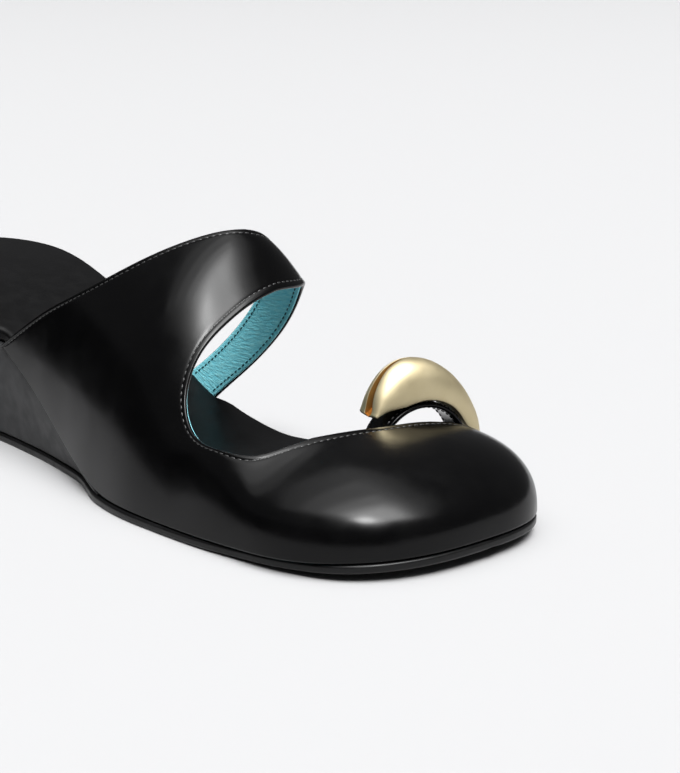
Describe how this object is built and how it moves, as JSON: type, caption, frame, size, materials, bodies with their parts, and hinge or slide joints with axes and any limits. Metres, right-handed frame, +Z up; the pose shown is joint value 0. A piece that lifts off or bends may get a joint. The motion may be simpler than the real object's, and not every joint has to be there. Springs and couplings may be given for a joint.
{
  "type": "wedge mule",
  "caption": "Glossy black leather wedge mule for the right foot, with a swept instep strap, a closed square toe, a low wedge and a gold crescent on a toe loop.",
  "frame": {"origin": "on the floor, under the middle of the shoe's bounding box", "axes": "+X from the heel to the toe, +Y to the inner side of the foot, +Z up"},
  "size_m": [0.2534, 0.0902, 0.0782],
  "materials": {
    "sole_rubber": "satin black",
    "wedge_leather": "matte dark grey smooth leather",
    "footbed_leather": "matte near-black smooth leather",
    "upper_leather": "glossy black smooth leather with a light blue-green lining",
    "gold_metal": "polished pale gold"
  },
  "bodies": {
    "root": {"outsole": "sole_rubber", "wedge": "wedge_leather", "footbed": "footbed_leather", "upper": "upper_leather", "toe_loop": "upper_leather", "crescent": "gold_metal"}
  },
  "joints": []
}
